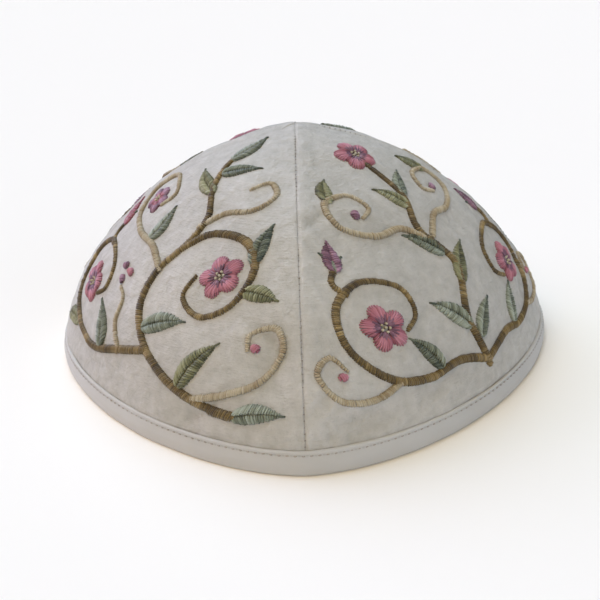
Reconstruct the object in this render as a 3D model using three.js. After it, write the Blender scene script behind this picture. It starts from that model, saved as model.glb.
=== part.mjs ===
// A domed cloth skullcap, standing on its rim: four gored panels that meet at the crown, and a
// folded binding round their lower edge. Millimetres, +Z up, origin on the floor under the crown.
// The front seam points along -Y and the side seams along X.
import * as THREE from "three";
import { mergeVertices } from "three/addons/utils/BufferGeometryUtils.js";

// The cap's form.
const rimHalfWidth = 85; // centre to the rim at the two side seams
const rimHalfDepth = 85; // centre to the rim at the front and back seams
const crownHeight = 73; // floor to the point where the four seams meet
const seamRidge = 1.66; // exponent of the dome: 2 is an ellipsoid, less draws soft ridges at the seams

// The panels: silk over a stiffened backing.
const panelThickness = 1.6;
const seamGap = 0.3; // between neighbouring panels
const seamDip = 0.5; // how deep the cloth rolls down into a seam
const seamRollWidth = 1.8; // from a seam to where the dip fades out
const dentDepth = 1.3; // the deepest soft dent in the cloth
const edgeSqueeze = 0.6; // how much thinner the panels' lower edge is, inside the binding
const squeezeFade = 0.8; // height over which the panels regain their thickness above the binding

// The binding: one folded strip, with the panels' edge inside the fold.
const bandHeight = 7;
const bandCloth = 1; // thickness of the strip
const bandProud = 0.7; // how far its outer face stands out from the panels
const bandPuff = 0.25; // how far it bulges between its stitching and the floor
const stitchDrop = 1.5; // from its upper edge down to the line of stitching
const stitchDip = 0.2; // how deep the stitching draws in
const bandEdgeRound = 0.5; // rounding of its edges
const bandClearance = 0.35; // between the strip and the panels' edge, on each side
const footClearance = 0.5; // between the fold's floor and the panels' edge

// How finely the curves are divided.
const stepsRoundQuarter = 20;
const stepsUpPanel = 13; // above the binding
const seamCrowding = 0.7; // how much closer together the steps are at the seams, from 0 to 1
const weldDistance = 1e-4;

const quarterTurn = Math.PI / 2;

// Soft dents in the cloth, most of them just above the binding, where the seams' ease ends up.
// turn is degrees round from the front, positive towards +X; height and tall are shares of
// crownHeight, wide is in degrees, and depth is a share of dentDepth.
const dents = [
  { turn: 14, height: 0.17, wide: 9, tall: 0.06, depth: 1 },
  { turn: 33, height: 0.22, wide: 8, tall: 0.09, depth: 0.4 },
  { turn: -27, height: 0.17, wide: 6, tall: 0.07, depth: 0.75 },
  { turn: -7, height: 0.42, wide: 7, tall: 0.08, depth: 0.5 },
  { turn: -62, height: 0.2, wide: 8, tall: 0.07, depth: 0.6 },
  { turn: 68, height: 0.19, wide: 9, tall: 0.07, depth: 0.65 },
  { turn: 12, height: 0.66, wide: 9, tall: 0.08, depth: 0.35 },
  { turn: -40, height: 0.72, wide: 13, tall: 0.07, depth: 0.4 },
  { turn: 116, height: 0.18, wide: 8, tall: 0.07, depth: 0.7 },
  { turn: 151, height: 0.24, wide: 7, tall: 0.08, depth: 0.6 },
  { turn: 168, height: 0.5, wide: 8, tall: 0.1, depth: 0.45 },
  { turn: -108, height: 0.2, wide: 9, tall: 0.07, depth: 0.65 },
  { turn: -143, height: 0.17, wide: 7, tall: 0.06, depth: 0.8 },
  { turn: -166, height: 0.37, wide: 8, tall: 0.09, depth: 0.4 },
];

// Depth of all the dents at one place: turn in degrees, height as a share of crownHeight.
function dentAt(turn, height) {
  let depth = 0;
  for (const dent of dents) {
    const around = (((turn - dent.turn + 540) % 360) - 180) / dent.wide;
    const up = (height - dent.height) / dent.tall;
    depth += dent.depth * dentDepth * Math.exp(-around * around - up * up);
  }
  return depth;
}

// Signed power, which keeps a superellipse's four quarters alike.
function power(value, exponent) {
  return Math.sign(value) * Math.abs(value) ** exponent;
}

// Draws evenly spaced angles together at the seams, where the form turns most.
function crowded(angle) {
  return angle - (seamCrowding * Math.sin(4 * angle)) / 4;
}

// The dome's plain surface at an angle round from +X, in radians, and a height above the floor,
// moved outwards by the given distance along the way that the cloth faces.
function onDome(angle, height, outwards) {
  const share = Math.min(height / crownHeight, 1);
  const spread = (1 - share ** seamRidge) ** (1 / seamRidge);
  const x = spread * power(Math.cos(angle), 2 / seamRidge);
  const y = spread * power(Math.sin(angle), 2 / seamRidge);
  const facing = new THREE.Vector3(
    power(x, seamRidge - 1) / rimHalfWidth,
    power(y, seamRidge - 1) / rimHalfDepth,
    power(share, seamRidge - 1) / crownHeight,
  ).normalize();
  return new THREE.Vector3(x * rimHalfWidth, y * rimHalfDepth, share * crownHeight).addScaledVector(
    facing,
    outwards,
  );
}

// The same inside the binding, where each layer is moved level.
function inBinding(angle, height, outwards) {
  const moved = onDome(angle, height, outwards);
  moved.z = height;
  return moved;
}

// Moves each vertex of a closed geometry to where place puts it, and joins vertices that meet.
function reshape(geometry, place) {
  geometry.deleteAttribute("normal");
  geometry.deleteAttribute("uv");
  const position = geometry.getAttribute("position");
  for (let i = 0; i < position.count; i++) {
    const moved = place(new THREE.Vector3().fromBufferAttribute(position, i));
    position.setXYZ(i, moved.x, moved.y, moved.z);
  }
  const joined = mergeVertices(geometry, weldDistance);
  const corners = Array.from(joined.index.array);
  const kept = [];
  for (let i = 0; i < corners.length; i += 3) {
    const [a, b, c] = corners.slice(i, i + 3);
    if (a !== b && b !== c && c !== a) kept.push(a, b, c);
  }
  joined.setIndex(kept);
  joined.computeVertexNormals();
  return joined;
}

// Heights of a panel's rows: its lower edge, the binding's top, where the squeeze ends, and then
// even steps up the curve to the crown.
function panelRows() {
  const fullHeight = bandHeight + squeezeFade;
  const rows = [bandCloth + footClearance, bandHeight, fullHeight];
  const lowest = Math.asin((fullHeight / crownHeight) ** (seamRidge / 2));
  for (let i = 1; i <= stepsUpPanel; i++) {
    const climb = lowest + ((quarterTurn - lowest) * i) / stepsUpPanel;
    rows.push(crownHeight * Math.sin(climb) ** (2 / seamRidge));
  }
  return rows;
}

// One gored panel, bent from a flat box: its width runs round the cap, its height up to the crown
// and its depth through the cloth. start is the angle from +X at which its quarter begins.
function makePanel(name, start, material) {
  const rows = panelRows();
  const box = new THREE.BoxGeometry(1, 1, 1, stepsRoundQuarter, rows.length - 1, 1);
  // Half the seam's gap, towards the middle of the quarter.
  const middle = start + quarterTurn / 2;
  const away = new THREE.Vector3(Math.sign(Math.cos(middle)), Math.sign(Math.sin(middle)), 0);
  away.multiplyScalar(seamGap / 2);

  const geometry = reshape(box, (corner) => {
    const angle = crowded(start + quarterTurn * (corner.x + 0.5));
    const height = rows[Math.round((corner.y + 0.5) * (rows.length - 1))];
    const outside = corner.z > 0;
    // The binding holds the edge to the plain dome, thinner than the rest and with no dents.
    if (height <= bandHeight) {
      return inBinding(angle, height, outside ? -edgeSqueeze : -panelThickness).add(away);
    }
    const plain = onDome(angle, height, 0);
    const toSeam = Math.min(Math.abs(plain.x), Math.abs(plain.y)) / seamRollWidth;
    const turn = THREE.MathUtils.radToDeg(angle + quarterTurn);
    const relief = -seamDip * Math.exp(-toSeam * toSeam) - dentAt(turn, height / crownHeight);
    return onDome(angle, height, outside ? relief : relief - panelThickness).add(away);
  });
  const panel = new THREE.Mesh(geometry, material);
  panel.name = name;
  return panel;
}

// The binding's section, as a closed outline of (distance outwards from the plain dome, height).
function bandSection() {
  const outer = bandProud;
  const outerSlot = bandProud - bandCloth;
  const innerSlot = -panelThickness - bandClearance;
  const inner = innerSlot - bandCloth;
  const stitching = bandHeight - stitchDrop;
  const round = bandEdgeRound;
  return [
    [inner + round, 0],
    [outer - round, 0],
    [outer, round],
    [outer + bandPuff, stitching / 2],
    [outer - stitchDip, stitching],
    [outer, bandHeight - round],
    [outer - round, bandHeight],
    [outerSlot, bandHeight],
    [outerSlot, bandCloth],
    [innerSlot, bandCloth],
    [innerSlot, bandHeight],
    [inner + round, bandHeight],
    [inner, bandHeight - round],
    [inner, round],
  ];
}

// The binding, turned as a round ring and then drawn out to the rim's own plan.
function makeBand(name, material) {
  const ringRadius = Math.max(rimHalfWidth, rimHalfDepth);
  const outline = bandSection().map(([out, up]) => new THREE.Vector2(ringRadius + out, up));
  outline.push(outline[0].clone());
  const ring = new THREE.LatheGeometry(outline, 4 * stepsRoundQuarter);
  const geometry = reshape(ring, (corner) => {
    const angle = crowded(Math.atan2(-corner.z, corner.x));
    return inBinding(angle, corner.y, Math.hypot(corner.x, corner.z) - ringRadius);
  });
  const band = new THREE.Mesh(geometry, material);
  band.name = name;
  return band;
}

const silk = new THREE.MeshStandardMaterial({ color: 0xd6d1c8, roughness: 0.75, metalness: 0 });
const sateen = new THREE.MeshStandardMaterial({ color: 0xd2d1cb, roughness: 0.6, metalness: 0 });

const cap = new THREE.Group();
cap.add(
  makePanel("panel_back_right", 0, silk),
  makePanel("panel_back_left", quarterTurn, silk),
  makePanel("panel_front_left", 2 * quarterTurn, silk),
  makePanel("panel_front_right", 3 * quarterTurn, silk),
  makeBand("rim_band", sateen),
);

export default cap;
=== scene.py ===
import bmesh
import bpy
import numpy as np
from mathutils import Matrix, Vector


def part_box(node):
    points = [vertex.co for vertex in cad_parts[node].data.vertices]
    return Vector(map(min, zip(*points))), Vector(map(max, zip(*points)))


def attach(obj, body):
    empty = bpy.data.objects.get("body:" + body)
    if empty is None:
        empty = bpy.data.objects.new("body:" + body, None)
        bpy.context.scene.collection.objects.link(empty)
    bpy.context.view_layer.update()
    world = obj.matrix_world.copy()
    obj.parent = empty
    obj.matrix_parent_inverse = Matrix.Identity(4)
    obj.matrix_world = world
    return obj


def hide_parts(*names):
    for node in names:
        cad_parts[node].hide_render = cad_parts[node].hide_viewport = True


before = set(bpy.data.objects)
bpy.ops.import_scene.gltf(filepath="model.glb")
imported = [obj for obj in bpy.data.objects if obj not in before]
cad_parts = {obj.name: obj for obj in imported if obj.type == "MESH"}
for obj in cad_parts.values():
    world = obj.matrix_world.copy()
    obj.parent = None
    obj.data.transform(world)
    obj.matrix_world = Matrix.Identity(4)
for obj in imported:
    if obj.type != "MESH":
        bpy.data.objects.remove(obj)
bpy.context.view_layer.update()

# The panels
# Four gores of slubbed raw silk over a stiffened backing, 1.6 mm thick together. They are sewn to
# each other from the rim to the crown, and the seams' allowances are pressed to one side.
mm = 0.001
band_stand = 0.72 * mm  # how far the binding stands out from the panels
crown_dip = 0.5 * mm  # how far the seams draw the crown in
rim_half_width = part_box("rim_band")[1].x - band_stand
crown_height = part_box("panel_front_left")[1].z + crown_dip
band_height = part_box("rim_band")[1].z
panel_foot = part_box("panel_front_left")[0].z
seam_ridge = 1.66  # exponent of the dome: 2 is an ellipsoid, less draws soft ridges at the seams
cloth_thickness = 1.6 * mm
hem_thickness = 1 * mm  # the same, pressed flat inside the binding
quarter_turn = np.pi / 2
quarters = {
    "panel_back_right": 0,
    "panel_back_left": 1,
    "panel_front_left": 2,
    "panel_front_right": 3,
}


def signed_power(value, exponent):
    """A power that keeps its value's sign, so that the dome's four quarters are alike."""
    return np.sign(value) * np.abs(value) ** exponent


def on_dome(turn, height, lift):
    """Points of the plain dome at angles round from +X and heights, lifted the way the cloth faces."""
    share = np.clip(height / crown_height, 0, 1)
    spread = (1 - share**seam_ridge) ** (1 / seam_ridge)
    x = spread * signed_power(np.cos(turn), 2 / seam_ridge)
    y = spread * signed_power(np.sin(turn), 2 / seam_ridge)
    facing = np.stack(
        [
            signed_power(x, seam_ridge - 1) / rim_half_width,
            signed_power(y, seam_ridge - 1) / rim_half_width,
            share ** (seam_ridge - 1) / crown_height,
        ],
        axis=-1,
    )
    facing /= np.linalg.norm(facing, axis=-1, keepdims=True)
    plain = np.stack([x * rim_half_width, y * rim_half_width, share * crown_height], axis=-1)
    return plain + facing * np.asarray(lift)[..., None]


# A panel's flat cut, before it is bent: up is measured from the floor along its middle, and across
# from its middle along the cap's round. These tables turn flat places into angles and heights.
steps = np.linspace(0, quarter_turn, 721)
plan = np.stack([np.cos(steps), np.sin(steps)]) ** (2 / seam_ridge) * rim_half_width
round_lengths = np.append(0, np.cumsum(np.hypot(*np.diff(plan))))
rise_heights = np.sin(steps) ** (2 / seam_ridge) * crown_height
middle_radius = np.hypot(*plan[:, 360])
middle = np.stack([np.cos(steps) ** (2 / seam_ridge) * middle_radius, rise_heights])
rise_lengths = np.append(0, np.cumsum(np.hypot(*np.diff(middle))))
quarter_length = round_lengths[-1]


def spread_at(height):
    """How wide the dome is at a height, as a share of its width at the floor."""
    return (1 - np.clip(height / crown_height, 0, 1) ** seam_ridge) ** (1 / seam_ridge)


def from_flat(quarter, across, up):
    """The angle and height of a place on a panel's flat cut."""
    height = np.interp(up, rise_lengths, rise_heights)
    along = across / np.maximum(spread_at(height), 1e-6) + quarter_length / 2
    return quarter * quarter_turn + np.interp(along, round_lengths, steps), height


# Soft dents in the cloth, most of them just above the binding, where the seams' ease ends up.
# turn is degrees round from the front, positive towards +X; height and tall are shares of the
# crown's height, wide is in degrees, and depth is a share of the deepest dent.
deepest_dent = 1.3 * mm
dents = [
    {"turn": 14, "height": 0.17, "wide": 9, "tall": 0.06, "depth": 1},
    {"turn": 33, "height": 0.22, "wide": 8, "tall": 0.09, "depth": 0.4},
    {"turn": -27, "height": 0.17, "wide": 6, "tall": 0.07, "depth": 0.75},
    {"turn": -7, "height": 0.42, "wide": 7, "tall": 0.08, "depth": 0.5},
    {"turn": -10, "height": 0.34, "wide": 5, "tall": 0.08, "depth": 0.9},
    {"turn": -62, "height": 0.2, "wide": 8, "tall": 0.07, "depth": 0.6},
    {"turn": 68, "height": 0.19, "wide": 9, "tall": 0.07, "depth": 0.65},
    {"turn": 12, "height": 0.66, "wide": 9, "tall": 0.08, "depth": 0.35},
    {"turn": -40, "height": 0.72, "wide": 13, "tall": 0.07, "depth": 0.4},
    {"turn": 116, "height": 0.18, "wide": 8, "tall": 0.07, "depth": 0.7},
    {"turn": 151, "height": 0.24, "wide": 7, "tall": 0.08, "depth": 0.6},
    {"turn": 168, "height": 0.5, "wide": 8, "tall": 0.1, "depth": 0.45},
    {"turn": -108, "height": 0.2, "wide": 9, "tall": 0.07, "depth": 0.65},
    {"turn": -143, "height": 0.17, "wide": 7, "tall": 0.06, "depth": 0.8},
    {"turn": -166, "height": 0.37, "wide": 8, "tall": 0.09, "depth": 0.4},
    {"turn": -94, "height": 0.655, "wide": 6, "tall": 0.055, "depth": 0.6},
    {"turn": -101, "height": 0.815, "wide": 9, "tall": 0.05, "depth": 0.6},
    {"turn": -118, "height": 0.94, "wide": 16, "tall": 0.03, "depth": 0.55},
    {"turn": 103, "height": 0.845, "wide": 8, "tall": 0.05, "depth": 0.35},
    {"turn": 96, "height": 0.72, "wide": 6, "tall": 0.05, "depth": 0.35},
    {"turn": 86, "height": 0.25, "wide": 5, "tall": 0.07, "depth": 0.45},
]

# Creases that folding the cap has left in the cloth: the turns and heights at both ends, the depth
# and the width, in degrees and millimetres. Many small ones, raised or sunk, lie at random.
creases = [
    {"turns": (-28, -20), "heights": (8.5, 16.5), "deep": 0.7, "wide": 1.5},
    {"turns": (0, 14), "heights": (8.2, 8.8), "deep": 0.8, "wide": 2.2},
    {"turns": (1, 8), "heights": (16, 19.5), "deep": 0.7, "wide": 1.7},
    {"turns": (-14, -4), "heights": (35, 28), "deep": 0.6, "wide": 1.8},
    {"turns": (3, 14), "heights": (54, 57), "deep": 0.5, "wide": 1.6},
    {"turns": (27, 36), "heights": (12, 17), "deep": 0.6, "wide": 1.7},
    {"turns": (-75, -62), "heights": (36, 27), "deep": 0.6, "wide": 1.8},
    {"turns": (-60, -50), "heights": (9, 14), "deep": 0.6, "wide": 1.6},
    {"turns": (78, 66), "heights": (30, 22), "deep": 0.6, "wide": 1.8},
    {"turns": (110, 124), "heights": (9, 15), "deep": 0.7, "wide": 1.7},
    {"turns": (170, 158), "heights": (33, 26), "deep": 0.6, "wide": 1.8},
    {"turns": (-130, -118), "heights": (10, 17), "deep": 0.7, "wide": 1.7},
    {"turns": (-172, -160), "heights": (52, 46), "deep": 0.5, "wide": 1.7},
]

small_creases = 110
small_crease_starts = (10, 68)  # the heights between which they start
highest_crease = 71
usual_swing = 5  # how many degrees round a small crease usually runs
usual_climb = 4  # and how many millimetres up or down
small_crease_deep = 0.28  # at most, raised or sunk
small_crease_widths = (1.2, 1.7)
crease_hand = np.random.default_rng(31)
for _ in range(small_creases):
    turn, height = crease_hand.uniform(-180, 180), crease_hand.uniform(*small_crease_starts)
    creases.append(
        {
            "turns": (turn, turn + crease_hand.normal(0, usual_swing)),
            "heights": (height, min(height + crease_hand.normal(0, usual_climb), highest_crease)),
            "deep": crease_hand.uniform(-small_crease_deep, small_crease_deep),
            "wide": crease_hand.uniform(*small_crease_widths),
        }
    )

seam_groove = 0.1 * mm  # depth of the groove along each seam
seam_groove_width = 0.3 * mm  # from the seam to where the groove is a third as deep
allowance_rise = 0.22 * mm  # the step over the pressed allowance, on one side of a seam
allowance_starts = (0.2 * mm, 0.9 * mm)  # where the step begins and where it is full
allowance_ends = (2 * mm, 6 * mm)  # where it begins to fade and where it is gone
seam_pucker = 0.1 * mm
seam_pucker_length = 6.5 * mm
seam_pucker_reach = 4 * mm
hem_pucker = 0.14 * mm  # waves above the binding
hem_pucker_length = 9 * mm
hem_pucker_reach = 5 * mm
hand_waves = 0.35 * mm  # the slight unevenness that handling leaves
wave_count = 26
edge_squeeze = 0.4 * mm  # how far the edge is pressed in, inside the binding
squeeze_ends = (band_height - 0.9 * mm, band_height + 0.5 * mm)  # heights between which it fades
random = np.random.default_rng(18)
wave_ways = random.normal(size=(wave_count, 3))
wave_ways /= np.linalg.norm(wave_ways, axis=1, keepdims=True)
wave_lengths = random.uniform(9, 34, wave_count) * mm
wave_starts = random.uniform(0, 2 * np.pi, wave_count)


def smooth_step(value, low, high):
    """0 up to low, 1 from high, and a soft rise between them."""
    share = np.clip((value - low) / (high - low), 0, 1)
    return share * share * (3 - 2 * share)


def unevenness(points):
    """Smooth waves in all directions, between about -1 and 1."""
    total = np.zeros(points.shape[:-1])
    for way, length, start in zip(wave_ways, wave_lengths, wave_starts):
        size = length / wave_lengths.max()
        total += size * np.sin(points @ way * (2 * np.pi / length) + start)
    return total / 4


def relief(turn, height):
    """How far the cloth stands out from the plain dome."""
    plain = on_dome(turn, height, np.zeros_like(turn))
    degrees = np.degrees(turn) + 90
    dented = np.zeros_like(turn)
    for dent in dents:
        around = ((degrees - dent["turn"] + 540) % 360 - 180) / dent["wide"]
        up = (height / crown_height - dent["height"]) / dent["tall"]
        dented += dent["depth"] * deepest_dent * np.exp(-around**2 - up**2)
    for crease in creases:
        ends = np.radians(np.array(crease["turns"]) - 90), np.array(crease["heights"]) * mm
        first, last = on_dome(*ends, np.zeros(2))
        way = last - first
        share = np.clip((plain - first) @ way / (way @ way), 0, 1)
        gap = np.linalg.norm(plain - first - share[..., None] * way, axis=-1) / (crease["wide"] * mm)
        dented += crease["deep"] * mm * np.sin(np.pi * (0.1 + 0.8 * share)) * np.exp(-(gap**2))
    waves = unevenness(plain)
    to_seam = np.minimum(np.abs(plain[..., 0]), np.abs(plain[..., 1]))
    groove = seam_groove * np.exp(-((to_seam / seam_groove_width) ** 1.4))
    # The allowance lies on the side that a seam turns to, going round from +X.
    past_seam = (turn / quarter_turn) % 1 < 0.5
    over = smooth_step(to_seam, *allowance_starts) * (1 - smooth_step(to_seam, *allowance_ends))
    allowance = allowance_rise * over * past_seam
    pucker = seam_pucker * np.sin(2 * np.pi * height / seam_pucker_length + 2.5 * waves)
    pucker *= np.exp(-to_seam / seam_pucker_reach)
    around_rim = np.degrees(turn) / 90 * quarter_length
    hem = hem_pucker * np.sin(2 * np.pi * around_rim / hem_pucker_length + 4 * waves)
    hem *= np.exp(-np.maximum(height - band_height, 0) / hem_pucker_reach)
    free = smooth_step(height, *squeeze_ends)
    shape = hand_waves * waves + pucker + hem + allowance - groove - dented
    return free * shape - (1 - free) * edge_squeeze


def fold_shading(quarter, across, up):
    """How far the cloth at a place stands above its surroundings, from -1 to 1, for painted light and shade.
    """
    reach = 1.6 * mm
    full_fold = 0.4 * mm
    here = relief(*from_flat(quarter, across, up))
    around = [
        relief(*from_flat(quarter, across + right * reach, up + along * reach))
        for right, along in ((1, 0), (-1, 0), (0, 1), (0, -1))
    ]
    clear = smooth_step(up, band_height + 1 * mm, band_height + 3 * mm)
    return np.clip(clear * (here - np.mean(around, axis=0)) / full_fold, -1, 1)


def linear(hex_colour):
    """An sRGB hex colour as the linear colour that a shader takes."""
    channels = np.array([int(hex_colour[i : i + 2], 16) for i in (1, 3, 5)]) / 255
    low = channels / 12.92
    high = ((channels + 0.055) / 1.055) ** 2.4
    return (*np.where(channels > 0.04045, high, low).tolist(), 1.0)


def add_node(tree, kind, settings=None, values=None, links=None):
    """Adds a node with its settings, its inputs' values, and links from other nodes' outputs."""
    node = tree.nodes.new(kind)
    for name, value in (settings or {}).items():
        setattr(node, name, value)
    for name, value in (values or {}).items():
        node.inputs[name].default_value = value
    for name, output in (links or {}).items():
        tree.links.new(output, node.inputs[name])
    return node


def new_material(name):
    """An empty node material and its tree."""
    material = bpy.data.materials.new(name)
    material.use_nodes = True
    material.node_tree.nodes.clear()
    return material, material.node_tree


# Raw silk, plain woven from uneven yarn: thick slubs run across the panel as long faint ridges, and
# finer yarns cross them. It has a soft, low sheen. Yarns of 0.2 mm would not show, so the fine ones
# are drawn 0.5 mm apart. Where cloth meets cloth, a thin line of painted shade darkens the join, and
# creases get painted light on their ridges and painted shade in their hollows.
silk_light = "#d0cbc3"
silk_shade = "#a19d92"
# The colour of the painted shade along the joins.
painted_join_shade = "#766c61"
slub_length = 2.5 * mm
slub_width = 0.5 * mm
slub_share = 0.18  # how much the slubs count beside the crinkle, in height and in tone
crinkle_size = 3.2 * mm
yarn_spacing = 0.5 * mm
yarn_length = 7 * mm
yarn_share = 0.08  # the yarns' height, in the same way
cloth_relief = 0.8 * mm
tint_size = 26 * mm
tint_share = 0.6
# How strongly painted light and shade follow the creases.
fold_shading_share = 0.24
# The painted shade runs in a thin line along each seam and along the top of the binding.
seam_line = 0.15 * mm  # half width of the line of shade along a seam
seam_line_depth = 0.14
band_line = 0.4 * mm  # height of the line of shade above the binding
band_line_depth = 0.3
silk, tree = new_material("raw_silk")
cloth_place = add_node(tree, "ShaderNodeUVMap", {"uv_map": "cut"}).outputs["UV"]
slub_place = add_node(
    tree,
    "ShaderNodeMapping",
    values={"Scale": (1 / slub_length, 1 / slub_width, 1)},
    links={"Vector": cloth_place},
)
slubs = add_node(
    tree,
    "ShaderNodeTexNoise",
    {"noise_dimensions": "2D"},
    {"Scale": 1, "Detail": 3, "Roughness": 0.6},
    {"Vector": slub_place.outputs["Vector"]},
)
weft_place = add_node(
    tree,
    "ShaderNodeMapping",
    values={"Scale": (1 / yarn_length, 1 / yarn_spacing, 1), "Location": (3, 7, 0)},
    links={"Vector": cloth_place},
)
weft = add_node(
    tree,
    "ShaderNodeTexNoise",
    {"noise_dimensions": "2D"},
    {"Scale": 1, "Detail": 1},
    {"Vector": weft_place.outputs["Vector"]},
)
warp_place = add_node(
    tree,
    "ShaderNodeMapping",
    values={"Scale": (1 / yarn_spacing, 1 / yarn_length, 1), "Location": (9, 1, 0)},
    links={"Vector": cloth_place},
)
warp = add_node(
    tree,
    "ShaderNodeTexNoise",
    {"noise_dimensions": "2D"},
    {"Scale": 1, "Detail": 1},
    {"Vector": warp_place.outputs["Vector"]},
)
yarns = add_node(
    tree,
    "ShaderNodeMath",
    {"operation": "ADD"},
    links={0: weft.outputs["Fac"], 1: warp.outputs["Fac"]},
)
object_place = add_node(tree, "ShaderNodeTexCoord").outputs["Object"]
crinkle = add_node(
    tree,
    "ShaderNodeTexNoise",
    values={"Scale": 1 / crinkle_size, "Detail": 4, "Roughness": 0.6},
    links={"Vector": object_place},
)
slubs_and_crinkle = add_node(
    tree,
    "ShaderNodeMath",
    {"operation": "MULTIPLY_ADD"},
    {1: slub_share},
    {0: slubs.outputs["Fac"], 2: crinkle.outputs["Fac"]},
)
cloth_height = add_node(
    tree,
    "ShaderNodeMath",
    {"operation": "MULTIPLY_ADD"},
    {1: yarn_share},
    {0: yarns.outputs["Value"], 2: slubs_and_crinkle.outputs["Value"]},
)
cloth_bump = add_node(
    tree,
    "ShaderNodeBump",
    values={"Strength": 1, "Distance": cloth_relief},
    links={"Height": cloth_height.outputs["Value"]},
)
tint = add_node(
    tree,
    "ShaderNodeTexNoise",
    values={"Scale": 1 / tint_size, "Detail": 2},
    links={"Vector": object_place},
)
unevenly_dyed = add_node(
    tree,
    "ShaderNodeMath",
    {"operation": "MULTIPLY_ADD"},
    {1: tint_share},
    {0: tint.outputs["Fac"], 2: slubs_and_crinkle.outputs["Value"]},
)
# Painted light and shade: a crease's ridge is mixed paler and its hollow darker.
fold_shaded = add_node(
    tree,
    "ShaderNodeMath",
    {"operation": "MULTIPLY_ADD"},
    {1: fold_shading_share},
    {
        0: add_node(tree, "ShaderNodeAttribute", {"attribute_name": "fold_shading"}).outputs["Fac"],
        2: unevenly_dyed.outputs["Value"],
    },
)
tone = add_node(
    tree,
    "ShaderNodeMapRange",
    values={"From Min": 0.4, "From Max": 1.38},
    links={"Value": fold_shaded.outputs["Value"]},
)
silk_colour = add_node(
    tree,
    "ShaderNodeMix",
    {"data_type": "RGBA"},
    {"A": linear(silk_shade), "B": linear(silk_light)},
    {"Factor": tone.outputs["Result"]},
)
# Painted shade: the silk is mixed towards a darker colour just above the binding and beside each seam.
band_up = float(np.interp(band_height, rise_heights, rise_lengths))
above_band = add_node(
    tree,
    "ShaderNodeMapRange",
    values={
        "From Min": band_up,
        "From Max": band_up + band_line,
        "To Min": band_line_depth,
        "To Max": 0,
    },
    links={"Value": add_node(tree, "ShaderNodeSeparateXYZ", links={"Vector": cloth_place}).outputs["Y"]},
)
beside_seam = add_node(
    tree,
    "ShaderNodeMapRange",
    values={"From Min": 0, "From Max": seam_line, "To Min": seam_line_depth, "To Max": 0},
    links={"Value": add_node(tree, "ShaderNodeAttribute", {"attribute_name": "to_seam"}).outputs["Fac"]},
)
join = add_node(
    tree,
    "ShaderNodeMath",
    {"operation": "MAXIMUM"},
    links={0: above_band.outputs["Result"], 1: beside_seam.outputs["Result"]},
)
join_shaded_colour = add_node(
    tree,
    "ShaderNodeMix",
    {"data_type": "RGBA"},
    {"B": linear(painted_join_shade)},
    {"Factor": join.outputs["Value"], "A": silk_colour.outputs["Result"]},
)
silk_shader = add_node(
    tree,
    "ShaderNodeBsdfPrincipled",
    values={"Roughness": 0.58, "Sheen Weight": 0.12, "Sheen Roughness": 0.4, "IOR": 1.46},
    links={"Base Color": join_shaded_colour.outputs["Result"], "Normal": cloth_bump.outputs["Normal"]},
)
add_node(tree, "ShaderNodeOutputMaterial", links={"Surface": silk_shader.outputs["BSDF"]})

panel_columns = 120
panel_rows = 112
seam_crowding = 0.6  # how much closer together the columns are at the seams
seam_clearance = 0.01 * mm
crown_merge = 0.05 * mm
thickness_fade = 1.5 * mm  # height over which the cloth regains its thickness above the binding


def add_piece(name, mesh, material):
    """Puts a finished mesh in the scene as a piece of the cap."""
    piece = bpy.data.objects.new(name, mesh)
    bpy.context.scene.collection.objects.link(piece)
    mesh.materials.append(material)
    mesh.shade_smooth()
    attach(piece, "root")
    return piece


def make_panel(node, quarter):
    """One gore: a flat grid, bent to the dome with its relief and then given its thickness."""
    shape = bmesh.new()
    bmesh.ops.create_grid(shape, x_segments=panel_columns, y_segments=panel_rows, size=0.5)
    grid = np.array([corner.co[:2] for corner in shape.verts]) + 0.5
    share = grid[:, 0] - seam_crowding * np.sin(2 * np.pi * grid[:, 0]) / (2 * np.pi)
    foot = np.interp(panel_foot, rise_heights, rise_lengths)
    up = foot + (rise_lengths[-1] - foot) * grid[:, 1]
    height = np.interp(up, rise_lengths, rise_heights)
    across = (share - 0.5) * quarter_length * spread_at(height)
    turn = quarter * quarter_turn + np.interp(share * quarter_length, round_lengths, steps)
    plain = on_dome(turn, height, np.zeros_like(turn))
    points = on_dome(turn, height, relief(turn, height))
    # The edges stay just short of the seams' planes.
    middle_turn = (quarter + 0.5) * quarter_turn
    points[:, :2] += seam_clearance * np.sign([np.cos(middle_turn), np.sin(middle_turn)])
    for corner, point in zip(shape.verts, points):
        corner.co = point
    cut = shape.loops.layers.uv.new("cut")
    to_seam = shape.verts.layers.float.new("to_seam")
    fold_shading_layer = shape.verts.layers.float.new("fold_shading")
    # The creases' painted light and shade, kept on each corner.
    fold_shades = fold_shading(quarter, across, up)
    shape.verts.index_update()
    for corner in shape.verts:
        corner[to_seam] = np.abs(plain[corner.index, :2]).min()
        corner[fold_shading_layer] = fold_shades[corner.index]
    for face in shape.faces:
        for loop in face.loops:
            i = loop.vert.index
            loop[cut].uv = (across[i], up[i])
    top = [corner for corner, place in zip(shape.verts, grid) if place[1] > 1 - 1e-6]
    bmesh.ops.remove_doubles(shape, verts=top, dist=crown_merge)
    mesh = bpy.data.meshes.new(node)
    shape.to_mesh(mesh)
    shape.free()
    piece = add_piece(node.replace("panel", "silk"), mesh, silk)
    full = piece.vertex_groups.new(name="full_thickness")
    for corner in mesh.vertices:
        fullness = smooth_step(corner.co.z, band_height, band_height + thickness_fade)
        full.add([corner.index], fullness, "REPLACE")
    thickness = piece.modifiers.new("Cloth thickness", "SOLIDIFY")
    thickness.thickness = cloth_thickness
    thickness.offset = -1
    thickness.vertex_group = full.name
    thickness.thickness_vertex_group = hem_thickness / cloth_thickness
    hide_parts(node)
    return piece


silk_panels = {node: make_panel(node, quarter) for node, quarter in quarters.items()}

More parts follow.
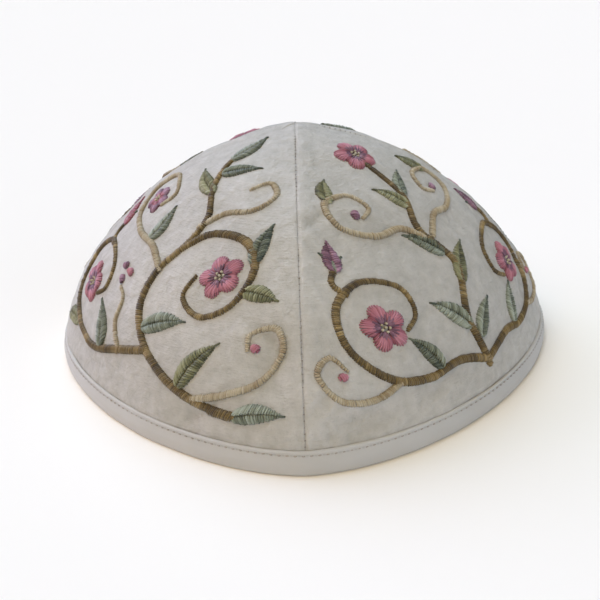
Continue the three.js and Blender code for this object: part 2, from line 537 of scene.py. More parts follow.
# The binding
# One strip of smooth woven cotton, folded over the panels' lower edge, with its own edges turned in.
# It replaces the ring in the frame, and its section follows that ring's: two legs and a foot.
band_cloth = 0.9 * mm  # thickness of the strip
band_face = 0.55 * mm  # outer face, out from the plain dome
band_inside = -2.95 * mm  # inner face, the same way
band_puff = 0.28 * mm
band_puff_reach = 1.6 * mm
fold_round = 0.35 * mm
foot_round = 0.9 * mm
stitch_height = band_height - 1 * mm
stitch_dip = 0.03 * mm  # how far the line of stitching draws the cloth in
stitch_dip_width = 0.45 * mm
rim_length = 4 * quarter_length
usual_stitch = 2.1 * mm
stitch_count = round(rim_length / usual_stitch)
stitch_pitch = rim_length / stitch_count
steps_per_stitch = 6
hole_depth = 0.16 * mm
hole_long = 0.5 * mm
hole_tall = 0.24 * mm
hole_shade_strength = 0.3
face_unevenness = 0.1 * mm
edge_unevenness = 0.09 * mm


def arc(out, up, radius, first, last, count):
    """Points round a centre, from one angle to another, in degrees up from outwards."""
    angles = np.radians(np.linspace(first, last, count))
    return np.stack([out + radius * np.cos(angles), up + radius * np.sin(angles)], axis=1)


def leg_face(out, way):
    """Points down a leg's face between its fold and the foot, drawn in at the stitching and full below."""
    near = np.array([0.18, 0.34, 0.5]) * mm
    full_again = stitch_height - 1.1 * mm
    below = np.linspace(full_again, foot_round, 6)
    up = np.concatenate([stitch_height + near[::-1], [stitch_height], stitch_height - near, below[:-1]])
    dip = stitch_dip * np.exp(-(((up - stitch_height) / stitch_dip_width) ** 2))
    middle = (stitch_height + foot_round) / 2
    puff = band_puff * np.exp(-(((up - middle) / band_puff_reach) ** 2))
    return np.stack([out + way * (puff - dip), up], axis=1)


fold_top = band_height - fold_round
outer_slot = band_face - band_cloth
inner_slot = band_inside + band_cloth
section = np.concatenate(
    [
        [[outer_slot, band_cloth], [outer_slot, fold_top - fold_round]],
        arc(outer_slot + fold_round, fold_top, fold_round, 180, 90, 4),
        arc(band_face - fold_round, fold_top, fold_round, 90, 0, 5),
        leg_face(band_face, 1),
        arc(band_face - foot_round, foot_round, foot_round, 0, -90, 5),
        arc(band_inside + foot_round, foot_round, foot_round, -90, -180, 5),
        leg_face(band_inside, -1)[::-1],
        arc(band_inside + fold_round, fold_top, fold_round, 180, 90, 5),
        arc(inner_slot - fold_round, fold_top, fold_round, 90, 0, 4),
        [[inner_slot, fold_top - fold_round], [inner_slot, band_cloth]],
    ]
)


def on_binding(along, height, out):
    """Points of the binding, whose layers stand out level: along is measured round the rim."""
    along = along % rim_length
    turn = along // quarter_length * quarter_turn + np.interp(along % quarter_length, round_lengths, steps)
    points = on_dome(turn, height, out)
    points[..., 2] = height
    return points


# Cotton sateen, smooth and close woven, cream and a little cooler than the silk. Its floats give it
# a soft sheen along the strip. The weave of 0.15 mm would not show and is drawn at 0.35 mm. Painted
# shade darkens the needle's holes.
sateen_light = "#c9c6c1"
sateen_shade = "#bebbb5"
painted_hole_shade = "#6a655d"
weave_size = 0.35 * mm
float_length = 1.6 * mm
float_relief = 0.06 * mm
strip_tint_size = 14 * mm
sateen, tree = new_material("cotton_sateen")
strip_place = add_node(tree, "ShaderNodeUVMap", {"uv_map": "strip"}).outputs["UV"]
float_place = add_node(
    tree,
    "ShaderNodeMapping",
    values={"Scale": (1 / float_length, 1 / weave_size, 1)},
    links={"Vector": strip_place},
)
floats = add_node(
    tree,
    "ShaderNodeTexNoise",
    {"noise_dimensions": "2D"},
    {"Scale": 1, "Detail": 2},
    {"Vector": float_place.outputs["Vector"]},
)
strip_tint = add_node(
    tree,
    "ShaderNodeTexNoise",
    values={"Scale": 1 / strip_tint_size, "Detail": 2},
    links={"Vector": add_node(tree, "ShaderNodeTexCoord").outputs["Object"]},
)
sateen_colour = add_node(
    tree,
    "ShaderNodeMix",
    {"data_type": "RGBA"},
    {"A": linear(sateen_shade), "B": linear(sateen_light)},
    {"Factor": strip_tint.outputs["Fac"]},
)
hole_shaded_colour = add_node(
    tree,
    "ShaderNodeMix",
    {"data_type": "RGBA"},
    {"B": linear(painted_hole_shade)},
    {
        "Factor": add_node(tree, "ShaderNodeAttribute", {"attribute_name": "hole"}).outputs["Fac"],
        "A": sateen_colour.outputs["Result"],
    },
)
sateen_bump = add_node(
    tree,
    "ShaderNodeBump",
    values={"Strength": 0.35, "Distance": float_relief},
    links={"Height": floats.outputs["Fac"]},
)
sateen_shader = add_node(
    tree,
    "ShaderNodeBsdfPrincipled",
    values={"Roughness": 0.6, "Sheen Weight": 0.1, "Sheen Roughness": 0.35, "IOR": 1.46},
    links={"Base Color": hole_shaded_colour.outputs["Result"], "Normal": sateen_bump.outputs["Normal"]},
)
add_node(tree, "ShaderNodeOutputMaterial", links={"Surface": sateen_shader.outputs["BSDF"]})


def make_binding():
    """The section, turned into a plain ring first and then laid along the rim's own plan."""
    ring_radius = 0.1
    shape = bmesh.new()
    corners = [shape.verts.new((ring_radius + out, 0, up)) for out, up in section]
    edges = [shape.edges.new((corners[i - 1], corners[i])) for i in range(len(corners))]
    bmesh.ops.spin(
        shape,
        geom=corners + edges,
        cent=(0, 0, 0),
        axis=(0, 0, 1),
        angle=2 * np.pi,
        steps=stitch_count,
        use_merge=True,
    )
    # The edges that run round the ring, and not across its section, are cut finer.
    ends = [(edge, edge.verts[0].co.xy, edge.verts[1].co.xy) for edge in shape.edges]
    round_edges = [edge for edge, first, last in ends if abs(first.cross(last)) > 1e-6]
    bmesh.ops.subdivide_edges(shape, edges=round_edges, cuts=steps_per_stitch - 1, use_grid_fill=True)
    bmesh.ops.recalc_face_normals(shape, faces=shape.faces)
    mesh = bpy.data.meshes.new("folded_binding")
    shape.to_mesh(mesh)
    shape.free()
    places = np.zeros(3 * len(mesh.vertices))
    mesh.vertices.foreach_get("co", places)
    x, y, up = places.reshape(-1, 3).T
    out = np.hypot(x, y) - ring_radius
    along = np.arctan2(y, x) / (2 * np.pi) % 1 * rim_length

    to_hole = (along / stitch_pitch + 0.5) % 1 * stitch_pitch - stitch_pitch / 2
    hole = np.exp(-((to_hole / hole_long) ** 2) - ((up - stitch_height) / hole_tall) ** 2)
    skin = 0.3 * mm
    on_face = (out > band_face - skin) | (out < band_inside + skin)
    hole *= on_face
    middle = (band_face + band_inside) / 2
    ring_points = on_dome(along / rim_length * 2 * np.pi, 0 * up, 0 * up)
    waves = unevenness(ring_points + up[:, None] * np.array([0.3, 0.2, 1]))
    shifted = out - np.sign(out - middle) * (hole * hole_depth - face_unevenness * waves * on_face)
    raised = up + edge_unevenness * waves * smooth_step(up, stitch_height, band_height)
    mesh.vertices.foreach_set("co", on_binding(along, raised, shifted).ravel())
    # Painted shade in the needle's holes.
    hole_shading = mesh.attributes.new("hole", "FLOAT", "POINT")
    hole_shading.data.foreach_set("value", hole_shade_strength * hole)

    # The strip's own map: along the rim, and across round the section.
    section_lengths = np.append(0, np.cumsum(np.hypot(*np.diff(section, axis=0).T)))
    nearest = np.argmin((out[:, None] - section[:, 0]) ** 2 + (up[:, None] - section[:, 1]) ** 2, axis=1)
    loops = np.zeros(len(mesh.loops), dtype=int)
    mesh.loops.foreach_get("vertex_index", loops)
    strip = np.stack([along[loops], section_lengths[nearest][loops]], axis=1).reshape(-1, 4, 2)
    size = np.array([rim_length, section_lengths[-1]])
    wraps = strip.max(axis=1, keepdims=True) - strip > size / 2
    strip += wraps * size
    mesh.uv_layers.new(name="strip").data.foreach_set("uv", strip.ravel())
    piece = add_piece("folded_binding", mesh, sateen)
    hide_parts("rim_band")
    return piece


binding = make_binding()

# The binding's topstitching
# Cotton thread in the strip's own cream, lockstitched through both legs of the fold, 2.1 mm a
# stitch. On each face a stitch shows as a short bowed thread that dips into its two holes.
thread_roundness = 1  # a thread's height as a share of its width
thread_sink = 0.3 * mm  # how far a stitch's ends dive below the cloth
seam_thread_half_width = 0.2 * mm
shown_stitch = (0.25, 0.75)  # between which shares of the pitch a stitch shows
seam_thread_base = 0.02 * mm
seam_thread_bow = 0.08 * mm
# How much painted shade darkens a thread at its ends and along its sides.
end_painted_shade = 0.5
side_painted_shade = 0.3


def thread_form():
    """One short thread of unit size that lies along Z: its corners and its triangles."""
    shape = bmesh.new()
    bmesh.ops.create_uvsphere(shape, u_segments=6, v_segments=6, radius=1)
    bmesh.ops.triangulate(shape, faces=shape.faces)
    shape.verts.index_update()
    corners = np.array([corner.co for corner in shape.verts])
    triangles = np.array([[corner.index for corner in face.verts] for face in shape.faces])
    shape.free()
    # It is fuller towards its ends than a ball.
    radius = np.hypot(corners[:, 0], corners[:, 1])
    full = (1 - np.clip(np.abs(corners[:, 2]), 0, 1) ** 4) ** 0.25
    corners[:, :2] *= (full / np.maximum(radius, 1e-6))[:, None]
    return corners, triangles


thread_corners, thread_triangles = thread_form()


def sewn_rows(starts, ends, half_width, base, bow, colours):
    """Threads as rows: start and end on the cloth, half width, base height, bow and colour."""
    sizes = np.ones((len(starts), 3)) * np.stack(np.broadcast_arrays(half_width, base, bow), axis=-1)
    return np.column_stack([starts, ends, sizes, np.ones((len(starts), 3)) * colours])


def lay_threads(name, rows, place, material):
    """One joined mesh of many threads, each bowed up between its two holes in the cloth. place
    gives the point at two distances along the cloth and a height above it."""
    starts, ends = rows[:, 0:2], rows[:, 2:4]
    half_width, base, bow = rows[:, 4:7].T[..., None]
    along = (ends - starts) / 2
    way = along / np.linalg.norm(along, axis=1, keepdims=True)
    aside = np.stack([-way[:, 1], way[:, 0]], axis=1)
    x, y, z = thread_corners.T
    flat = ((starts + ends) / 2)[:, None] + along[:, None] * z[:, None]
    flat = flat + (aside * half_width)[:, None] * x[:, None]
    lift = base + bow * (1 - np.abs(z) ** 2.5) - thread_sink * z**4
    lift = lift + thread_roundness * half_width * y
    points = place(flat[..., 0], flat[..., 1], lift).reshape(-1, 3)
    first = len(thread_corners) * np.arange(len(rows))
    triangles = (thread_triangles + first[:, None, None]).reshape(-1, 3)
    mesh = bpy.data.meshes.new(name)
    mesh.from_pydata(points.tolist(), [], triangles.tolist())
    # Painted shade darkens a thread where it goes down into the cloth, and along its sides, where others
    # shade it.
    painted_shading = (1 - end_painted_shade * z**4) * (1 - side_painted_shade * x**4)
    colours = rows[:, None, 7:10] * painted_shading[:, None]
    colours = np.concatenate([colours, np.ones((*colours.shape[:2], 1))], axis=2)
    # The dye, with the painted shade mixed in.
    dye_and_shade = mesh.attributes.new("dye", "FLOAT_COLOR", "POINT")
    dye_and_shade.data.foreach_set("color", colours.ravel())
    return add_piece(name, mesh, material)


# Mercerised cotton thread: round, tight and a little glossy, coloured by its dye and its painted shade.
cotton_thread, tree = new_material("mercerised_cotton_thread")
thread_dye_and_shade = add_node(tree, "ShaderNodeAttribute", {"attribute_name": "dye"})
cotton_shader = add_node(
    tree,
    "ShaderNodeBsdfPrincipled",
    values={"Roughness": 0.5, "Sheen Weight": 0.1, "IOR": 1.5},
    links={"Base Color": thread_dye_and_shade.outputs["Color"]},
)
add_node(tree, "ShaderNodeOutputMaterial", links={"Surface": cotton_shader.outputs["BSDF"]})

topstitch_dye = np.array(linear("#b3aa9e")[:3])
first_holes = np.arange(stitch_count) * stitch_pitch
stitch_line = np.full(stitch_count, stitch_height)
outside_rows = sewn_rows(
    np.stack([first_holes + shown_stitch[0] * stitch_pitch, stitch_line], axis=1),
    np.stack([first_holes + shown_stitch[1] * stitch_pitch, stitch_line], axis=1),
    seam_thread_half_width,
    seam_thread_base,
    seam_thread_bow,
    topstitch_dye,
)
outer_face = band_face - stitch_dip
inner_face = band_inside + stitch_dip
topstitching = lay_threads(
    "topstitching_outside",
    outside_rows,
    lambda along, height, lift: on_binding(along, height, outer_face + lift),
    cotton_thread,
)
# Inside the cap, along runs the other way round, so that the stitches still face away from the cloth.
topstitching_inside = lay_threads(
    "topstitching_inside",
    outside_rows,
    lambda along, height, lift: on_binding(-along, height, inner_face - lift),
    cotton_thread,
)

# The seams' stitching
# The panels are joined face to face with a fine lockstitch, 1.7 mm a stitch. Where a seam is pulled
# open by the cap's curve, the thread shows as small dull rungs down in the groove.
rung_pitch = 1.7 * mm
rung_half_length = 0.26 * mm
rung_half_width = 0.13 * mm
rung_slant = 0.12 * mm
rung_base = 0.1 * mm  # above the groove's floor
rung_bow = 0.02 * mm
rungs_above_band = 1 * mm
rungs_below_crown = 1.5 * mm
rung_dye = np.array(linear("#9d9486")[:3])
seam_profile = np.stack([np.cos(steps) ** (2 / seam_ridge) * rim_half_width, rise_heights])
seam_rises = np.append(0, np.cumsum(np.hypot(*np.diff(seam_profile))))


def on_seam(seam):
    """A function that gives points across and up along one seam."""
    turn = seam * quarter_turn
    sideways = np.array([-np.sin(turn), np.cos(turn), 0])

    def place(across, up, lift):
        height = np.interp(up, seam_rises, rise_heights)
        return on_dome(np.full_like(height, turn), height, lift) + across[..., None] * sideways

    return place


first_rung = np.interp(band_height + rungs_above_band, rise_heights, seam_rises)
rungs = np.arange(first_rung, seam_rises[-1] - rungs_below_crown, rung_pitch)
rung_rows = sewn_rows(
    np.stack([np.full(len(rungs), -rung_half_length), rungs], axis=1),
    np.stack([np.full(len(rungs), rung_half_length), rungs + rung_slant], axis=1),
    rung_half_width,
    rung_base - seam_groove,
    rung_bow,
    rung_dye,
)
for seam, name in enumerate(["right", "back", "left", "front"]):
    lay_threads("seam_stitches_" + name, rung_rows, on_seam(seam), cotton_thread)

# The embroidery
# Satin stitch in rayon thread, worked on each panel while it was still flat: scrolling stems that
# wind round five-petalled blossoms, with almond leaves, buds and berries.
thread_half_width = 0.33 * mm
stitch_spacing = 0.6 * mm
stitch_wander = 0.05 * mm
highest_bow = 0.72 * mm
tone_wander = 0.14
stem_slant = 0.24
stem_bow = 0.28
slow_shading = 4.5 * mm  # a stem's tones come and go over this length, and over a finer one
fast_shading = 1.7 * mm
midrib_overlap = 0.22 * mm  # how far a leaf's stitches cross its midrib
leaf_lean = 0.16  # how far a leaf's stitches slant forward, as a share of its length
leaf_bow = 0.2
leaf_teeth = 0.13 * mm  # how much every second stitch stands out at a leaf's edge
petal_bow = 0.14
heart_lift = 0.22 * mm  # how high a blossom's inner row lies
knot_lift = 0.45 * mm  # and its knots, and the one in their middle
middle_knot_lift = 0.6 * mm
knot_reach = 0.42 * mm
hand = np.random.default_rng(7)
# Each dye's darkest, middle and lightest tone.
dyes = {
    "brown": ("#433418", "#705b2d", "#ab9361"),
    "straw": ("#998461", "#b7a788", "#cfc3a8"),
    "green": ("#414938", "#7e846f", "#b3baa9"),
    "olive": ("#49492a", "#83825a", "#b4b28d"),
    "pink": ("#924c59", "#b7727e", "#d2919d"),
    "mauve": ("#5f3c4a", "#916779", "#be94a8"),
}


def heading(degrees):
    """The way that an angle points, as a step across and up."""
    return np.stack([np.cos(np.radians(degrees)), np.sin(np.radians(degrees))], axis=-1)


def satin(starts, ends, dye, shade, bow, base=0.0):
    """A row of stitches side by side, each a little uneven in place, height and tone. shade runs
    from 0, the dye's darkest tone, to 1, its lightest, and bow is a share of a stitch's length."""
    count = len(starts)
    starts = starts + hand.normal(0, stitch_wander, (count, 2))
    ends = ends + hand.normal(0, stitch_wander, (count, 2))
    lengths = np.linalg.norm(ends - starts, axis=1)
    rise = np.minimum(bow * lengths, highest_bow) * hand.uniform(0.85, 1.15, count)
    shade = np.clip(shade + hand.normal(0, tone_wander, count), 0, 1)
    tones = np.array([linear(tone)[:3] for tone in dyes[dye]])
    colours = np.stack([np.interp(shade, [0, 0.5, 1], tone) for tone in tones.T], axis=1)
    return sewn_rows(starts, ends, thread_half_width, base, rise, colours)


def smooth_path(points):
    """Places a stitch apart on a smooth curve through a few chosen ones."""
    places = np.array(points, dtype=float)
    before = np.vstack([2 * places[0] - places[1], places[:-1]])
    after = np.vstack([places[1:], 2 * places[-1] - places[-2]])
    slopes = (after - before) / 2
    share = np.linspace(0, 1, 30)[:, None]
    from_start = 2 * share**3 - 3 * share**2 + 1
    leaving = share**3 - 2 * share**2 + share
    arriving = share**3 - share**2
    bends = [
        from_start * a + (1 - from_start) * b + leaving * out + arriving * into
        for a, b, out, into in zip(places[:-1], places[1:], slopes[:-1], slopes[1:])
    ]
    dense = np.concatenate(bends)
    lengths = np.append(0, np.cumsum(np.linalg.norm(np.diff(dense, axis=0), axis=1)))
    even = np.arange(0, lengths[-1], stitch_spacing)
    return np.stack([np.interp(even, lengths, column) for column in dense.T], axis=1)


def sew_stem(stem):
    """A stem, worked across its width with a slight slant. It tapers to a share of its width."""
    path = smooth_path(np.array(stem["through"]) * mm)
    slopes = np.gradient(path, axis=0)
    slopes /= np.linalg.norm(slopes, axis=1, keepdims=True)
    aside = np.stack([-slopes[:, 1], slopes[:, 0]], axis=1)
    share = np.linspace(0, 1, len(path))
    along = share * len(path) * stitch_spacing
    fullness = stem["taper"] + (1 - stem["taper"]) * np.cos(np.pi / 2 * share) ** 0.7
    half = stem["wide"] * mm / 2 * fullness
    # Both ends are rounded.
    to_end = np.minimum(along, along[-1] - along) + stitch_spacing / 2
    half *= np.sqrt(1 - np.clip(1 - to_end / half, 0, 1) ** 2)
    across = half[:, None] * (aside + stem_slant * slopes)
    slow = np.sin(along / slow_shading + hand.uniform(0, 6))
    fast = np.sin(along / fast_shading)
    return satin(path - across, path + across, stem["dye"], 0.5 + 0.13 * slow + 0.15 * fast, stem_bow)


def sew_leaf(leaf):
    """A leaf in two halves, whose stitches slant up from its midrib to its edges, light on one side."""
    length = leaf["long"] * mm
    half = leaf["wide"] * mm / 2
    forward = heading(leaf["turn"])
    sideways = heading(leaf["turn"] + 90)

    def rib(share):
        bend = leaf["bend"] * 4 * share * (1 - share)
        return np.array(leaf["at"]) * mm + length * (share[:, None] * forward + bend[:, None] * sideways)

    # A leaf is widest a little before its middle, and one last stitch draws out its tip.
    reach = np.arange(0.03, 0.965, stitch_spacing / length)
    inner = np.clip((reach - leaf_lean) / (1 - leaf_lean), 0.01, 1)
    teeth = leaf_teeth * (np.arange(len(reach)) % 2)
    edge = half * np.sin(np.pi * reach**0.75) ** 0.85 + teeth
    halves = []
    pale = hand.uniform(-0.16, 0.24)
    for side, tone in ((-1, 0.34 + pale), (1, 0.64 + pale)):
        starts = rib(inner) - side * midrib_overlap * sideways
        ends = rib(reach) + side * edge[:, None] * sideways
        halves.append(satin(starts, ends, leaf["dye"], tone - 0.3 * reach**3, leaf_bow))
    tip = satin(rib(np.array([0.86])), rib(np.array([1.06])), leaf["dye"], 0.1, 0.1)
    return np.concatenate([*halves, tip])


def sew_knot(place, dye, shade, base):
    """A small raised knot of two crossed stitches."""
    first = hand.uniform(0, 180)
    reach = knot_reach * np.array([heading(first), heading(first + 90)])
    return satin(place - reach, place + reach, dye, shade, 0.5, base)


def sew_blossom(blossom):
    """Five rounded petals of stitches laid outwards, a shorter inner row over them, and knots."""
    centre = np.array(blossom["at"]) * mm
    radius = blossom["wide"] * mm / 2
    rows = []
    for petal in range(5):
        middle = blossom["turn"] + 72 * petal
        fan = np.linspace(-1, 1, 11)
        outer = radius * (1 - 0.27 * np.abs(fan) ** 2.2)[:, None] * heading(middle + 32 * fan)
        inner = 0.24 * radius * heading(middle + 30 * fan)
        shade = 0.75 - 0.55 * np.abs(fan)
        rows.append(satin(centre + inner, centre + outer, blossom["dye"], shade, petal_bow))
        fan = np.linspace(-0.8, 0.8, 7)
        reach = (0.56 + 0.09 * np.cos(np.pi * np.arange(7)))[:, None]
        outer = radius * reach * heading(middle + 30 * fan)
        inner = 0.12 * radius * heading(middle + 30 * fan)
        shade = 0.5 - 0.4 * np.abs(fan)
        rows.append(satin(centre + inner, centre + outer, blossom["heart"], shade, petal_bow, heart_lift))
        rows.append(sew_knot(centre + 0.17 * radius * heading(middle + 36), "straw", 0.8, knot_lift))
    rows.append(sew_knot(centre, "straw", 0.9, middle_knot_lift))
    return np.concatenate(rows)


def sew_bud(bud):
    """A closed bud held by two narrow sepals."""
    petals = {**bud, "wide": bud["long"] * 0.5, "bend": 0}
    sepal = {"at": bud["at"], "dye": "green", "long": bud["long"] * 0.62, "wide": bud["long"] * 0.24}
    left = {**sepal, "turn": bud["turn"] + 26, "bend": -0.12}
    right = {**sepal, "turn": bud["turn"] - 26, "bend": 0.12}
    return np.concatenate([sew_leaf(petals), sew_leaf(left), sew_leaf(right)])


def sew_berry(berry):
    """A round berry of parallel stitches, high in the middle."""
    radius = berry["wide"] * mm / 2
    offsets = np.arange(-radius + 0.2 * mm, radius - 0.1 * mm, stitch_spacing * 0.9)
    reach = np.sqrt(radius**2 - offsets**2)[:, None]
    middle = np.array(berry["at"]) * mm + offsets[:, None] * heading(berry["turn"] + 90)
    way = heading(berry["turn"])
    shade = 0.55 + 0.3 * offsets / radius
    return satin(middle - reach * way, middle + reach * way, berry["dye"], shade, 0.3)


# The two designs. Lengths are millimetres on the flat cut, across from the panel's middle and up
# from the floor, and angles are degrees from across towards up. taper is the width that a stem
# ends with, as a share of the width that it begins with, and bend is how far a leaf's midrib bows
# aside, as a share of its length.
climbing_vine = {
    "stems": [
        # The straw tendrils, which the brown stems cover where they branch.
        {
            "dye": "straw",
            "wide": 2.5,
            "taper": 0.55,
            "through": [(29, 16), (38, 19), (47, 24), (50, 32), (46, 38), (40, 36), (41, 31)],
        },
        {
            "dye": "straw",
            "wide": 2.6,
            "taper": 0.55,
            "through": [(2, 47), (-7, 53), (-17, 55), (-26, 60), (-28, 69), (-21, 76), (-13, 71), (-16, 65)],
        },
        {"dye": "straw", "wide": 2.2, "taper": 0.5, "through": [(-3, 22), (-8, 28), (-8, 35), (-12, 38)]},
        {
            "dye": "straw",
            "wide": 2.3,
            "taper": 0.55,
            "through": [(6, 63), (12, 69), (20, 71), (23, 77), (18, 82), (14, 78)],
        },
        {"dye": "brown", "wide": 2.0, "taper": 0.8, "through": [(-30, 46), (-33, 49), (-32, 53)]},
        {
            "dye": "brown",
            "wide": 2.8,
            "taper": 0.5,
            "through": [
                (10, 25), (-3, 21), (-18, 17), (-32, 19), (-42, 28), (-42, 40), (-32, 47), (-22, 43),
                (-20, 35), (-25, 31),
            ],
        },
        {
            "dye": "brown",
            "wide": 2.7,
            "taper": 0.5,
            "through": [(5, 55), (13, 62), (25, 61), (32, 53), (31, 43), (23, 38), (15, 42), (16, 49)],
        },
        {
            "dye": "brown",
            "wide": 3.0,
            "taper": 0.6,
            "through": [
                (43, 14), (33, 15), (20, 19), (8, 26), (1, 36), (1, 47), (6, 57), (7, 67), (1, 77), (-2, 89),
            ],
        },
    ],
    "leaves": [
        {"at": (-2, 88), "turn": 84, "long": 15, "wide": 5.6, "bend": -0.05, "dye": "green"},
        {"at": (3, 75), "turn": 150, "long": 14, "wide": 5.6, "bend": 0.06, "dye": "olive"},
        {"at": (0, 82), "turn": 28, "long": 12, "wide": 5, "bend": 0.06, "dye": "green"},
        {"at": (-10, 54), "turn": 82, "long": 13, "wide": 5.2, "bend": -0.05, "dye": "green"},
        {"at": (5, 30), "turn": 22, "long": 15, "wide": 6, "bend": 0.07, "dye": "green"},
        {"at": (24, 18), "turn": 60, "long": 16, "wide": 6.4, "bend": 0.08, "dye": "olive"},
        {"at": (42, 14), "turn": 8, "long": 14, "wide": 5.6, "bend": 0.06, "dye": "green"},
        {"at": (-33, 19), "turn": 192, "long": 16, "wide": 5.8, "bend": -0.06, "dye": "olive"},
        {"at": (-12, 18), "turn": 120, "long": 15, "wide": 6, "bend": -0.07, "dye": "green"},
        {"at": (31, 54.5), "turn": 98, "long": 12.5, "wide": 5.2, "bend": 0.05, "dye": "green"},
        {"at": (32, 47), "turn": -10, "long": 11, "wide": 4.8, "bend": 0.05, "dye": "olive"},
    ],
    "blossoms": [
        {"at": (-31, 33), "turn": 20, "wide": 14, "dye": "pink", "heart": "mauve"},
        {"at": (23.5, 50), "turn": 50, "wide": 13.5, "dye": "pink", "heart": "mauve"},
        {"at": (-20, 66), "turn": 80, "wide": 10.5, "dye": "mauve", "heart": "pink"},
    ],
    "buds": [{"at": (-32, 52.5), "turn": 98, "long": 10, "dye": "pink"}],
    "berries": [
        {"at": (-13, 40), "turn": 30, "wide": 3, "dye": "mauve"},
        {"at": (-10, 43), "turn": 80, "wide": 2.9, "dye": "pink"},
        {"at": (-14, 44), "turn": 120, "wide": 2.7, "dye": "mauve"},
        {"at": (42.6, 32.4), "turn": 60, "wide": 2.6, "dye": "pink"},
    ],
}
paired_scrolls = {
    "stems": [
        {
            "dye": "straw",
            "wide": 2.5,
            "taper": 0.55,
            "paired": True,
            "through": [(1, 54), (8, 60), (17, 60), (25, 65), (24, 73), (16, 75), (13, 69), (17, 66)],
        },
        {
            "dye": "straw",
            "wide": 2.3,
            "taper": 0.55,
            "paired": True,
            "through": [(32, 20), (42, 17), (51, 19), (54, 26), (49, 30), (46, 26)],
        },
        {
            "dye": "brown",
            "wide": 2.0,
            "taper": 0.8,
            "paired": True,
            "through": [(36, 45), (38, 49), (35, 53)],
        },
        {
            "dye": "brown",
            "wide": 2.8,
            "taper": 0.5,
            "paired": True,
            "through": [
                (-1, 15), (11, 19), (23, 18), (35, 21), (43, 31), (41, 42), (31, 48), (21, 44),
                (20, 36), (25, 32),
            ],
        },
        {
            "dye": "brown",
            "wide": 2.9,
            "taper": 0.6,
            "through": [(0, 13), (-3, 29), (3, 44), (-2, 58), (2, 70), (0, 85)],
        },
    ],
    "leaves": [
        {"at": (-3, 26), "turn": 134, "long": 15, "wide": 6, "bend": -0.07, "dye": "green"},
        {"at": (1, 38), "turn": 48, "long": 15, "wide": 6, "bend": 0.07, "dye": "olive"},
        {"at": (1, 48), "turn": 134, "long": 13.5, "wide": 5.4, "bend": -0.07, "dye": "green"},
        {"at": (-1, 22), "turn": 42, "long": 13.5, "wide": 5.4, "bend": 0.07, "dye": "green"},
        {"at": (1, 65), "turn": 128, "long": 12, "wide": 5, "bend": -0.06, "dye": "olive"},
        {"at": (2, 69), "turn": 50, "long": 12, "wide": 5, "bend": 0.06, "dye": "green"},
        {"at": (18, 19), "turn": 56, "long": 13, "wide": 5.4, "bend": 0.07, "dye": "green", "paired": True},
        {"at": (23, 73), "turn": 122, "long": 11, "wide": 4.6, "bend": -0.05, "dye": "olive", "paired": True},
    ],
    "blossoms": [
        {"at": (31, 34.5), "turn": 15, "wide": 14, "dye": "pink", "heart": "mauve", "paired": True},
        {"at": (0, 89), "turn": 90, "wide": 14, "dye": "pink", "heart": "mauve"},
    ],
    "buds": [{"at": (35, 52), "turn": 110, "long": 10, "dye": "mauve", "paired": True}],
    "berries": [
        {"at": (18.3, 67.6), "turn": 30, "wide": 2.9, "dye": "mauve", "paired": True},
        {"at": (47.8, 24.6), "turn": 80, "wide": 2.6, "dye": "pink", "paired": True},
    ],
}


def sew_design(design):
    """All the stitches of a design. A paired motif is sewn a second time, mirrored."""
    rows = []
    motifs = [
        *[(sew_stem, stem) for stem in design["stems"]],
        *[(sew_leaf, leaf) for leaf in design["leaves"]],
        *[(sew_berry, berry) for berry in design["berries"]],
        *[(sew_bud, bud) for bud in design["buds"]],
        *[(sew_blossom, blossom) for blossom in design["blossoms"]],
    ]
    for sew, motif in motifs:
        rows.append(sew(motif))
        if motif.get("paired"):
            twin = sew(motif)
            twin[:, [0, 2]] *= -1
            rows.append(twin)
    return np.concatenate(rows)


def on_panel(quarter):
    """A function that gives points across and up a panel's cloth, and above it."""

    def place(across, up, lift):
        turn, height = from_flat(quarter, across, up)
        return on_dome(turn, height, relief(turn, height) + lift)

    return place


# Rayon embroidery thread: bright floss laid side by side, with a silky gloss along each stitch and
# fine uneven fibres. The fibres of 0.02 mm would not show and are drawn at 0.12 mm.
fibre_size = 0.12 * mm
fibre_relief = 0.03 * mm
rayon, tree = new_material("rayon_floss")
# The floss's colour holds its dye and the shade painted at each stitch's ends and sides.
floss_dye_and_shade = add_node(tree, "ShaderNodeAttribute", {"attribute_name": "dye"})
fibres = add_node(
    tree,
    "ShaderNodeTexNoise",
    values={"Scale": 1 / fibre_size, "Detail": 1},
    links={"Vector": add_node(tree, "ShaderNodeTexCoord").outputs["Object"]},
)
fibre_bump = add_node(
    tree,
    "ShaderNodeBump",
    values={"Strength": 0.3, "Distance": fibre_relief},
    links={"Height": fibres.outputs["Fac"]},
)
rayon_shader = add_node(
    tree,
    "ShaderNodeBsdfPrincipled",
    values={"Roughness": 0.42, "Sheen Weight": 0.15, "Sheen Roughness": 0.4, "IOR": 1.5},
    links={"Base Color": floss_dye_and_shade.outputs["Color"], "Normal": fibre_bump.outputs["Normal"]},
)
add_node(tree, "ShaderNodeOutputMaterial", links={"Surface": rayon_shader.outputs["BSDF"]})

designs = {
    "panel_back_right": climbing_vine,
    "panel_back_left": paired_scrolls,
    "panel_front_left": climbing_vine,
    "panel_front_right": paired_scrolls,
}
for node, design in designs.items():
    name = node.replace("panel", "embroidery")
    embroidery = lay_threads(name, sew_design(design), on_panel(quarters[node]), rayon)

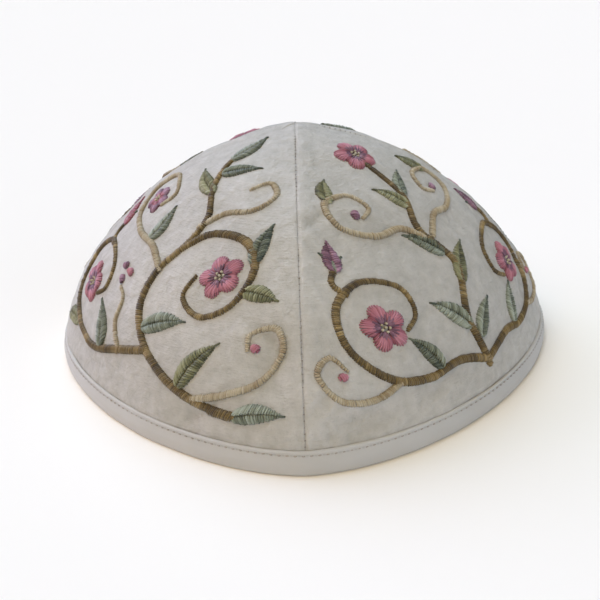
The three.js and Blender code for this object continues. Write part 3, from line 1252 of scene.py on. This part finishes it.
# The floor and the wall
# A pale painted board, and well behind it a round wall of backlit paper as pale as the board, which
# closes the low views and takes no part in the light.
wall_radius = 6
wall_height = 2.5
paint, tree = new_material("matt_white_paint")
paint_shader = add_node(
    tree,
    "ShaderNodeBsdfPrincipled",
    values={"Base Color": linear("#f9f4ec"), "Roughness": 1, "Specular IOR Level": 0},
)
add_node(tree, "ShaderNodeOutputMaterial", links={"Surface": paint_shader.outputs["BSDF"]})
paper, tree = new_material("backlit_paper")
glow = add_node(tree, "ShaderNodeEmission", values={"Color": linear("#fafaf9"), "Strength": 1})
add_node(tree, "ShaderNodeOutputMaterial", links={"Surface": glow.outputs["Emission"]})


def add_stage(name, shape, material):
    """Puts a finished bmesh in the scene as a part of the set."""
    mesh = bpy.data.meshes.new(name)
    shape.to_mesh(mesh)
    shape.free()
    mesh.materials.append(material)
    mesh.shade_smooth()
    stage = bpy.data.objects.new(name, mesh)
    bpy.context.scene.collection.objects.link(stage)
    return stage


board = bmesh.new()
bmesh.ops.create_circle(board, cap_ends=True, segments=64, radius=wall_radius)
add_stage("floor", board, paint)
curve = bmesh.new()
bmesh.ops.create_circle(curve, segments=64, radius=wall_radius)
raised = bmesh.ops.extrude_edge_only(curve, edges=curve.edges)["geom"]
top = [corner for corner in raised if isinstance(corner, bmesh.types.BMVert)]
bmesh.ops.translate(curve, verts=top, vec=(0, 0, wall_height))
wall = add_stage("wall", curve, paper)
wall.visible_shadow = False
wall.visible_diffuse = False
wall.visible_glossy = False

# Camera
# Close to the cap and a little above it, as in the photograph, and tilted by 2.5 degrees.
camera_data = bpy.data.cameras.new("camera")
camera = bpy.data.objects.new("camera", camera_data)
bpy.context.scene.collection.objects.link(camera)
bpy.context.scene.camera = camera
camera_data.sensor_width = 36
camera_data.lens = 42.95
camera_data.clip_start = 0.01
distance = 257 * mm
elevation = np.radians(24.97)
yaw = np.radians(0.79)
roll = np.radians(-2.495)
aim_right = -0.85 * mm
aim_up = 10.46 * mm
round_cap = Matrix.Rotation(yaw, 3, "Z")
aim = round_cap @ Vector((aim_right, 0, aim_up))
away = round_cap @ Vector((0, -np.cos(elevation), np.sin(elevation)))
camera.matrix_world = (
    Matrix.Translation(aim + away * distance)
    @ away.to_track_quat("Z", "Y").to_matrix().to_4x4()
    @ Matrix.Rotation(roll, 4, "Z")
)

# Lights
# Broad, even studio light. turn is degrees round from the front, positive towards +X, rise is
# degrees up from the floor, and soft is how wide the light looks from the cap, in degrees.
lamps = [
    {"name": "window", "turn": -150, "rise": 60, "soft": 60, "strength": 2.63, "colour": "#d0e5ff"},
    {"name": "left_wall", "turn": -110, "rise": 15, "soft": 60, "strength": 1.62, "colour": "#dcd6ff"},
    {"name": "ceiling", "turn": -30, "rise": 60, "soft": 60, "strength": 1.33, "colour": "#ffe5ae"},
    {"name": "right_wall", "turn": 50, "rise": 15, "soft": 60, "strength": 1.23, "colour": "#cae0ff"},
]
for lamp in lamps:
    data = bpy.data.lights.new(lamp["name"], "SUN")
    data.angle = np.radians(lamp["soft"])
    data.energy = lamp["strength"]
    data.color = linear(lamp["colour"])[:3]
    turn, rise = np.radians(lamp["turn"]), np.radians(lamp["rise"])
    towards = Vector((np.sin(turn) * np.cos(rise), -np.cos(turn) * np.cos(rise), np.sin(rise)))
    light = bpy.data.objects.new(lamp["name"], data)
    light.rotation_euler = (-towards).to_track_quat("-Z", "Y").to_euler()
    bpy.context.scene.collection.objects.link(light)
world = bpy.data.worlds.new("studio")
bpy.context.scene.world = world
world.use_nodes = True
world.node_tree.nodes["Background"].inputs["Color"].default_value = linear("#ffffff")
world.node_tree.nodes["Background"].inputs["Strength"].default_value = 0.022
bpy.context.scene.view_settings.view_transform = "Standard"
